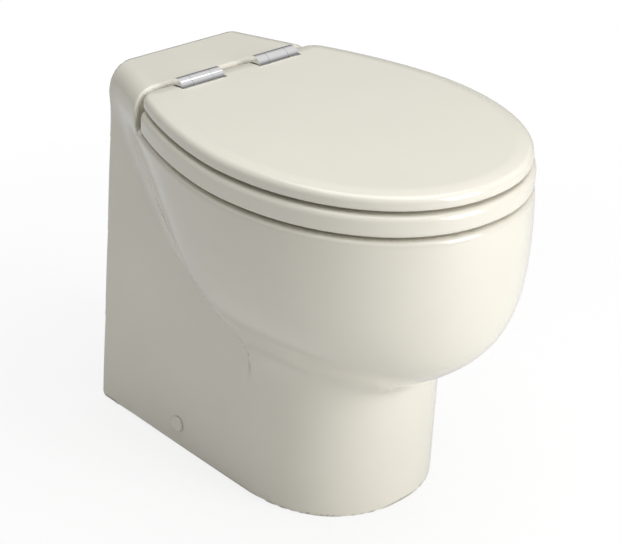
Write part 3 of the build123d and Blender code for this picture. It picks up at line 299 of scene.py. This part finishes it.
def skin(name, field, low, high, step):
    """Closed mesh on the surface where the field is zero, with the field's own normals."""
    axes = [np.arange(a, b + step, step) for a, b in zip(low, high)]
    value = field(*np.meshgrid(*axes, indexing="ij"))
    inside = value < 0
    shape = tuple(n - 1 for n in value.shape)
    total = np.zeros(shape + (3,))
    count = np.zeros(shape)
    grid = np.stack(np.meshgrid(*axes, indexing="ij"), axis=-1)
    quads = []
    ids = np.arange(np.prod(shape)).reshape(shape)
    for axis in range(3):
        lo = tuple(slice(0, -1) if a == axis else slice(None) for a in range(3))
        hi = tuple(slice(1, None) if a == axis else slice(None) for a in range(3))
        crossed = inside[lo] != inside[hi]
        share = np.where(crossed, value[lo] / np.where(crossed, value[lo] - value[hi], 1), 0)
        spot = grid[lo] + 0
        spot[..., axis] += share * step
        spot *= crossed[..., None]
        others = [a for a in range(3) if a != axis]
        for first in (0, 1):
            for second in (0, 1):
                pick = [slice(None)] * 3
                pick[others[0]] = slice(first, first + shape[others[0]])
                pick[others[1]] = slice(second, second + shape[others[1]])
                total += spot[tuple(pick)]
                count += crossed[tuple(pick)]
        where = np.argwhere(crossed)
        keep = np.all((where[:, others] > 0) & (where[:, others] < np.array(shape)[others]), axis=1)
        where = where[keep]
        corners = []
        for first, second in ((-1, -1), (0, -1), (0, 0), (-1, 0)):
            cell = where.copy()
            cell[:, others[0]] += first
            cell[:, others[1]] += second
            corners.append(ids[tuple(cell.T)])
        face = np.stack(corners, axis=1)
        outward = inside[lo][tuple(where.T)]
        if axis == 1:
            outward = ~outward
        face[~outward] = face[~outward][:, ::-1]
        quads.append(face)
    used = count > 0
    renumber = np.cumsum(used.ravel()) - 1
    points = total[used] / count[used][:, None]
    faces = renumber[np.concatenate(quads)]

    def slope(p):
        e = 2e-4
        parts = []
        for axis in range(3):
            d = np.zeros(3)
            d[axis] = e
            parts.append((field(*(p + d).T) - field(*(p - d).T)) / (2 * e))
        return np.stack(parts, axis=1)

    for _ in range(4):
        g = slope(points)
        length = np.maximum((g ** 2).sum(1), 0.05)
        move = (field(*points.T) / length)[:, None] * g
        far = np.maximum(np.linalg.norm(move, axis=1) / (step * 0.6), 1)
        points -= move / far[:, None]
    g = slope(points)
    normals = g / np.maximum(np.linalg.norm(g, axis=1), 1e-9)[:, None]
    mesh = bpy.data.meshes.new(name)
    mesh.from_pydata(points.tolist(), [], faces.tolist())
    mesh.shade_smooth()
    mesh.normals_split_custom_set_from_vertices(normals.tolist())
    piece = bpy.data.objects.new(name, mesh)
    scene.collection.objects.link(piece)
    return piece


china_piece = skin("china", china, (-0.188, -0.252, -0.006), (0.188, 0.252, 0.434), 0.0045)


# Effect that every finish shares: a slow ripple with fine pits in it, as in a fired glaze
# or a moulded face. It gives a height for the relief and patches for colour and gloss.
def node_group(name, inputs, outputs):
    group = bpy.data.node_groups.new(name, "ShaderNodeTree")
    for label, value in inputs:
        socket = group.interface.new_socket(label, in_out="INPUT", socket_type="NodeSocketFloat")
        socket.default_value = value
    for label in outputs:
        group.interface.new_socket(label, in_out="OUTPUT", socket_type="NodeSocketFloat")
    return group, group.nodes.new("NodeGroupInput"), group.nodes.new("NodeGroupOutput")


ripple, ripple_in, ripple_out = node_group(
    "surface_ripple", [("Broad Scale", 12.0), ("Fine Scale", 400.0), ("Fine Share", 0.2)],
    ["Height", "Patches"])
place = ripple.nodes.new("ShaderNodeTexCoord")
broad = ripple.nodes.new("ShaderNodeTexNoise")
fine = ripple.nodes.new("ShaderNodeTexNoise")
blend = ripple.nodes.new("ShaderNodeMix")
ripple.links.new(place.outputs["Object"], broad.inputs["Vector"])
ripple.links.new(place.outputs["Object"], fine.inputs["Vector"])
ripple.links.new(ripple_in.outputs["Broad Scale"], broad.inputs["Scale"])
ripple.links.new(ripple_in.outputs["Fine Scale"], fine.inputs["Scale"])
ripple.links.new(ripple_in.outputs["Fine Share"], blend.inputs["Factor"])
ripple.links.new(broad.outputs["Fac"], blend.inputs["A"])
ripple.links.new(fine.outputs["Fac"], blend.inputs["B"])
ripple.links.new(blend.outputs["Result"], ripple_out.inputs["Height"])
ripple.links.new(broad.outputs["Fac"], ripple_out.inputs["Patches"])


def finish(name, dark, light, rough, metal=0.0, broad=12.0, fine=400.0, share=0.2, bump=0.02,
           depth=0.0002, coat=0.0):
    """Material whose colour and roughness drift a little between two values."""
    material = bpy.data.materials.new(name)
    material.use_nodes = True
    tree = material.node_tree
    shader = tree.nodes["Principled BSDF"]
    effect = tree.nodes.new("ShaderNodeGroup")
    effect.node_tree = ripple
    effect.inputs["Broad Scale"].default_value = broad
    effect.inputs["Fine Scale"].default_value = fine
    effect.inputs["Fine Share"].default_value = share
    tone = tree.nodes.new("ShaderNodeMix")
    tone.data_type = "RGBA"
    tone.inputs["A"].default_value = (*dark, 1)
    tone.inputs["B"].default_value = (*light, 1)
    tree.links.new(effect.outputs["Patches"], tone.inputs["Factor"])
    tree.links.new(tone.outputs["Result"], shader.inputs["Base Color"])
    gloss = tree.nodes.new("ShaderNodeMapRange")
    gloss.inputs["To Min"].default_value = rough[0]
    gloss.inputs["To Max"].default_value = rough[1]
    tree.links.new(effect.outputs["Patches"], gloss.inputs["Value"])
    tree.links.new(gloss.outputs["Result"], shader.inputs["Roughness"])
    relief = tree.nodes.new("ShaderNodeBump")
    relief.inputs["Strength"].default_value = bump
    relief.inputs["Distance"].default_value = depth
    tree.links.new(effect.outputs["Height"], relief.inputs["Height"])
    tree.links.new(relief.outputs["Normal"], shader.inputs["Normal"])
    shader.inputs["Metallic"].default_value = metal
    shader.inputs["Coat Weight"].default_value = coat
    shader.inputs["Coat Roughness"].default_value = 0.03
    return material


def dress(material, *names):
    for name in names:
        mesh = nodes[name].data
        mesh.materials.clear()
        mesh.materials.append(material)


glaze = finish("bone_glaze", (0.72, 0.69, 0.60), (0.76, 0.73, 0.64), (0.10, 0.16), coat=0.6)
china_piece.data.materials.append(glaze)
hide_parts("china_body")
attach(china_piece, "base")


# Seat: compression-moulded ring in gloss thermoset, with a rounded edge, a sloping inner
# edge, and cut-outs at the rear for the hinges.
def pocket(name, low, high):
    """Box with its lowest and highest corners, to cut with."""
    mesh = bpy.data.meshes.new(name)
    box_mesh = bmesh.new()
    bmesh.ops.create_cube(box_mesh, size=1)
    for vert in box_mesh.verts:
        for axis in range(3):
            vert.co[axis] = low[axis] if vert.co[axis] < 0 else high[axis]
    box_mesh.to_mesh(mesh)
    box_mesh.free()
    piece = bpy.data.objects.new(name, mesh)
    scene.collection.objects.link(piece)
    return piece


def cut(piece, boxes):
    for low, high in boxes:
        for side in (-1, 1):
            ends = sorted((side * low[0], side * high[0]))
            tool = pocket("cutter", (ends[0], low[1], low[2]), (ends[1], high[1], high[2]))
            modifier = piece.modifiers.new("cut", "BOOLEAN")
            modifier.operation = "DIFFERENCE"
            modifier.solver = "EXACT"
            modifier.object = tool
            with bpy.context.temp_override(object=piece, active_object=piece):
                bpy.ops.object.modifier_apply(modifier=modifier.name)
            bpy.data.objects.remove(tool)


seat_low, seat_high = 0.3877, 0.4100
hinge_x = 0.0563


def seat(x, y, z):
    side = plate_distance(x, y, 0.0039, lid_rear_y - 0.0002, 0.016)
    body = round_max(side, z - seat_high, 0.0075)
    body = round_max(body, seat_low - z, 0.0035)
    rise = np.clip((z - seat_low) / (seat_high - seat_low), 0, 1)
    ahead = y + 0.058
    rho = np.maximum(np.hypot(x, ahead), 1e-6)
    flare = 0.004 * rise ** 3
    hole = rho - super_radius(x / rho, ahead / rho, 0.110 + flare, 0.140 + flare, bowl_plan_power)
    return round_max(body, -hole, 0.008)


seat_piece = skin("seat", seat, (-0.186, -0.248, 0.384), (0.186, 0.166, 0.414), 0.0025)
cut(seat_piece, [((hinge_x - 0.016, 0.1306, 0.37), (hinge_x + 0.016, 0.19, 0.44)),
                 ((0.0261, 0.1088, 0.4082), (0.0421, 0.1540, 0.43))])
seat_gloss = finish("seat_gloss", (0.74, 0.71, 0.62), (0.78, 0.75, 0.66), (0.13, 0.19),
                    broad=7.0, fine=900.0, coat=0.5)
seat_piece.data.materials.append(seat_gloss)
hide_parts("seat_ring")
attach(seat_piece, "seat")


# Lid: moulded panel of the same thermoset. Its top is flat inside a soft crease, falls
# gently towards the edge and rolls over it. The rear edge is round about the hinge.
lid_low, lid_high = 0.4142, 0.4304
hinge_z = 0.4265


def lid(x, y, z):
    side = plate_distance(x, y, 0.0, lid_rear_y, 0.016)
    fall = np.clip(1 + side / 0.021, 0, 1.2)
    top = lid_high - 0.0028 * fall ** 1.6
    body = round_max(side, z - top, 0.0065)
    body = round_max(body, lid_low - z, 0.003)
    barrel = np.where(y > hinge_y, np.hypot(y - hinge_y, z - hinge_z), 0) - barrel_radius
    return np.maximum(body, barrel)


lid_piece = skin("lid", lid, (-0.182, -0.244, 0.410), (0.182, 0.162, 0.434), 0.0025)
cut(lid_piece, [((hinge_x - 0.032, 0.1331, 0.40), (hinge_x + 0.032, 0.19, 0.45)),
                ((0.0703, 0.1088, 0.405), (0.0863, 0.1466, 0.4175))])
lid_piece.data.materials.append(seat_gloss)
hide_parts("lid_panel")
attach(lid_piece, "lid")


# Bumpers: eight soft rubber pads that keep the seat off the rim and the lid off the seat.
# Four are fixed flat under the seat and four under the lid.
pad_rubber = finish("pad_rubber", (0.60, 0.58, 0.52), (0.66, 0.64, 0.58), (0.5, 0.7), fine=1500.0)
dress(pad_rubber, "seat_bumpers", "lid_bumpers")


# Hinges: bright chrome knuckles turning on a steel pin at each side. The fixed knuckle
# stands on a post, and the leaves are screwed to the seat and to the lid.
chrome = finish("hinge_chrome", (0.82, 0.82, 0.83), (0.88, 0.88, 0.89), (0.04, 0.10), 1.0,
                fine=200.0, bump=0.01)
dress(chrome, "hinge_posts", "lid_hinge_leaves", "seat_hinge_leaves")
steel = finish("plain_steel", (0.45, 0.45, 0.46), (0.60, 0.60, 0.61), (0.22, 0.38), 1.0, fine=900.0)
dress(steel, "hinge_pins", "lid_leaf_screws", "seat_leaf_screws")


# Hinge fixings: steel studs through the china's deck, drawn tight from below by nylon
# wing nuts on steel washers.
white_nylon = finish("white_nylon", (0.72, 0.72, 0.68), (0.80, 0.80, 0.76), (0.35, 0.5), fine=1200.0)
dress(steel, "hinge_studs", "hinge_washers")
dress(white_nylon, "hinge_wing_nuts")


# Floor fixing: bent steel brackets inside the skirt, each held by one screw through the
# china's side, with a moulded cap over the screw's head.
cap_gloss = finish("cap_gloss", (0.74, 0.71, 0.62), (0.78, 0.75, 0.66), (0.2, 0.28))
dress(cap_gloss, "side_caps")
dress(steel, "side_screws", "floor_brackets")


# Outlet sleeve: black rubber between the bowl's outlet and the pump, held by two steel
# band clamps.
black_rubber = finish("black_rubber", (0.02, 0.02, 0.02), (0.04, 0.04, 0.04), (0.5, 0.75), fine=1400.0)
dress(black_rubber, "outlet_sleeve")
dress(steel, "sleeve_clamps")


# Macerator pump: moulded black casing, back plate and impeller, with a stamped steel
# cutter plate, a blade and its nut on the motor's shaft, and a rubber seal behind.
pump_black = finish("pump_black", (0.03, 0.03, 0.032), (0.055, 0.055, 0.06), (0.38, 0.55),
                    fine=1600.0, bump=0.1)
dress(pump_black, "pump_casing", "pump_back_plate", "impeller")
dress(steel, "cutter_plate", "macerator_blade", "blade_nut")
dress(black_rubber, "shaft_seal")


# Screws round the pump's flange: six steel cross-head screws that clamp the back plate
# to the casing. They stand evenly on one circle about the shaft, heads to the rear, with
# their shanks through the plate and into the casing's rim.
screw_head_radius = 0.0036
screw_head_height = 0.0026
screw_shank_radius = 0.0020
screw_slot_length = 0.0040
screw_slot_width = 0.0009
screw_slot_depth = 0.0012
screw_count = 6
screws_low, screws_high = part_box("casing_screws")
screw_seat_y = screws_high.y - screw_head_height
screw_shank_length = screw_seat_y - screws_low.y
screw_axis_z = (screws_low.z + screws_high.z) / 2
screw_circle_radius = (screws_high.z - screws_low.z) / 2 - screw_head_radius


def screw_circle_tree(name):
    """Cross-head screws, evenly round a circle about Z, with their heads towards +Z."""
    tree = bpy.data.node_groups.new(name, "GeometryNodeTree")
    link = tree.links.new
    lengths = ("Circle Radius", "Head Radius", "Head Height", "Shank Radius", "Shank Length",
               "Slot Length", "Slot Width", "Slot Depth", "Start Angle")
    for label in lengths:
        tree.interface.new_socket(label, in_out="INPUT", socket_type="NodeSocketFloat")
    tree.interface.new_socket("Count", in_out="INPUT", socket_type="NodeSocketInt")
    tree.interface.new_socket("Finish", in_out="INPUT", socket_type="NodeSocketMaterial")
    tree.interface.new_socket("Screws", in_out="OUTPUT", socket_type="NodeSocketGeometry")
    given = tree.nodes.new("NodeGroupInput")
    result = tree.nodes.new("NodeGroupOutput")

    def triple(x=None, y=None, z=None):
        node = tree.nodes.new("ShaderNodeCombineXYZ")
        for axis, source in (("X", x), ("Y", y), ("Z", z)):
            if source is not None:
                link(source, node.inputs[axis])
        return node.outputs["Vector"]

    def times(source, factor):
        node = tree.nodes.new("ShaderNodeMath")
        node.operation = "MULTIPLY"
        node.inputs[1].default_value = factor
        link(source, node.inputs[0])
        return node.outputs["Value"]

    def placed(mesh, socket, source):
        node = tree.nodes.new("GeometryNodeTransform")
        link(mesh, node.inputs["Geometry"])
        link(source, node.inputs[socket])
        return node.outputs["Geometry"]

    dome = tree.nodes.new("GeometryNodeMeshUVSphere")
    dome.inputs["Segments"].default_value = 32
    dome.inputs["Rings"].default_value = 16
    dome.inputs["Radius"].default_value = 1.0
    head_radius = given.outputs["Head Radius"]
    head_size = triple(head_radius, head_radius, given.outputs["Head Height"])
    head = placed(dome.outputs["Mesh"], "Scale", head_size)

    deep = times(given.outputs["Slot Depth"], 2.0)
    slot_place = triple(z=given.outputs["Head Height"])
    first = tree.nodes.new("GeometryNodeMeshCube")
    link(triple(given.outputs["Slot Length"], given.outputs["Slot Width"], deep), first.inputs["Size"])
    second = tree.nodes.new("GeometryNodeMeshCube")
    link(triple(given.outputs["Slot Width"], given.outputs["Slot Length"], deep), second.inputs["Size"])
    recess = tree.nodes.new("GeometryNodeMeshBoolean")
    recess.operation = "DIFFERENCE"
    link(head, recess.inputs["Mesh 1"])
    link(placed(first.outputs["Mesh"], "Translation", slot_place), recess.inputs["Mesh 2"])
    link(placed(second.outputs["Mesh"], "Translation", slot_place), recess.inputs["Mesh 2"])

    shank = tree.nodes.new("GeometryNodeMeshCylinder")
    shank.inputs["Vertices"].default_value = 24
    link(given.outputs["Shank Radius"], shank.inputs["Radius"])
    link(given.outputs["Shank Length"], shank.inputs["Depth"])
    shank_place = triple(z=times(given.outputs["Shank Length"], -0.5))
    join = tree.nodes.new("GeometryNodeJoinGeometry")
    link(recess.outputs["Mesh"], join.inputs["Geometry"])
    link(placed(shank.outputs["Mesh"], "Translation", shank_place), join.inputs["Geometry"])

    circle = tree.nodes.new("GeometryNodeMeshCircle")
    link(given.outputs["Count"], circle.inputs["Vertices"])
    link(given.outputs["Circle Radius"], circle.inputs["Radius"])
    spread = tree.nodes.new("GeometryNodeInstanceOnPoints")
    link(circle.outputs["Mesh"], spread.inputs["Points"])
    link(join.outputs["Geometry"], spread.inputs["Instance"])
    turned = placed(spread.outputs["Instances"], "Rotation", triple(z=given.outputs["Start Angle"]))
    real = tree.nodes.new("GeometryNodeRealizeInstances")
    link(turned, real.inputs["Geometry"])
    paint = tree.nodes.new("GeometryNodeSetMaterial")
    link(real.outputs["Geometry"], paint.inputs["Geometry"])
    link(given.outputs["Finish"], paint.inputs["Material"])
    link(paint.outputs["Geometry"], result.inputs["Screws"])
    return tree


screw_tree = screw_circle_tree("screws_on_a_circle")
screw_values = {
    "Circle Radius": screw_circle_radius, "Head Radius": screw_head_radius,
    "Head Height": screw_head_height, "Shank Radius": screw_shank_radius,
    "Shank Length": screw_shank_length, "Slot Length": screw_slot_length,
    "Slot Width": screw_slot_width, "Slot Depth": screw_slot_depth,
    "Start Angle": math.radians(30), "Count": screw_count, "Finish": steel,
}
screw_seed = bpy.data.objects.new("screw_seed", bpy.data.meshes.new("screw_seed"))
scene.collection.objects.link(screw_seed)
screw_modifier = screw_seed.modifiers.new("screws", "NODES")
screw_modifier.node_group = screw_tree
for item in screw_tree.interface.items_tree:
    if item.in_out == "INPUT":
        screw_modifier[item.identifier] = screw_values[item.name]
evaluated = screw_seed.evaluated_get(bpy.context.evaluated_depsgraph_get())
flange_screws_mesh = bpy.data.meshes.new_from_object(evaluated)
bpy.data.objects.remove(screw_seed)
screws_turn = Matrix.Rotation(math.radians(-90), 4, "X")
flange_screws_mesh.transform(Matrix.Translation((0, screw_seat_y, screw_axis_z)) @ screws_turn)
flange_screws = bpy.data.objects.new("flange_screws", flange_screws_mesh)
scene.collection.objects.link(flange_screws)
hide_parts("casing_screws")
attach(flange_screws, "base")


# Motor: painted steel can and cap joined by through bolts, on a bent steel cradle with
# rubber feet. The magnets and the carbon brushes have the dark matt finish of the rubber.
motor_paint = finish("motor_paint", (0.06, 0.06, 0.065), (0.09, 0.09, 0.10), (0.3, 0.42))
dress(motor_paint, "motor_can", "motor_end_cap")
dress(steel, "motor_shaft", "front_bearing", "rear_bearing", "through_bolts", "motor_cradle")
dress(black_rubber, "cradle_feet", "motor_magnets", "carbon_brushes")
dress(pump_black, "brush_ring")
core_steel = finish("core_steel", (0.25, 0.24, 0.23), (0.36, 0.35, 0.34), (0.35, 0.5), 1.0)
dress(core_steel, "armature")
copper = finish("copper", (0.65, 0.30, 0.17), (0.78, 0.42, 0.26), (0.2, 0.35), 1.0)
dress(copper, "commutator")


# Discharge: moulded body and cover with a rubber flap on a steel pin between them, which
# stops waste coming back, and a hose spigot held by steel screws.
dress(pump_black, "valve_body", "valve_cover", "discharge_spigot")
dress(black_rubber, "valve_flap")
dress(steel, "flap_pin", "spigot_screws")


# Rinse valve: nylon body under a moulded coil. The steel plunger slides in a brass guide
# and a wire spring shuts it. The spring gets a mesh of its own.
brass = finish("brass", (0.66, 0.47, 0.20), (0.76, 0.58, 0.28), (0.2, 0.32), 1.0)
dress(white_nylon, "water_valve_body")
dress(pump_black, "solenoid_coil")
dress(brass, "plunger_guide")
dress(steel, "plunger", "plunger_spring")
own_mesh(nodes["plunger_spring"])


# Rinse line: a grey hose from the valve to a nylon nozzle through the china, with the
# steel bracket that carries the valve and the control box.
hose_grey = finish("hose_grey", (0.45, 0.46, 0.46), (0.55, 0.56, 0.56), (0.35, 0.5))
dress(hose_grey, "rinse_hose")
dress(white_nylon, "rinse_nozzle")
dress(steel, "service_bracket")


# Control box: moulded grey box with a screwed cover, a circuit board inside and a cable
# gland below. No cable is fitted.
box_grey = finish("box_grey", (0.50, 0.51, 0.51), (0.58, 0.59, 0.59), (0.4, 0.55),
                  fine=1500.0, bump=0.1)
dress(box_grey, "control_box", "box_cover")
board_green = finish("board_green", (0.02, 0.14, 0.05), (0.03, 0.2, 0.08), (0.3, 0.4))
dress(board_green, "circuit_board")
dress(steel, "cover_screws")
dress(pump_black, "cable_gland")
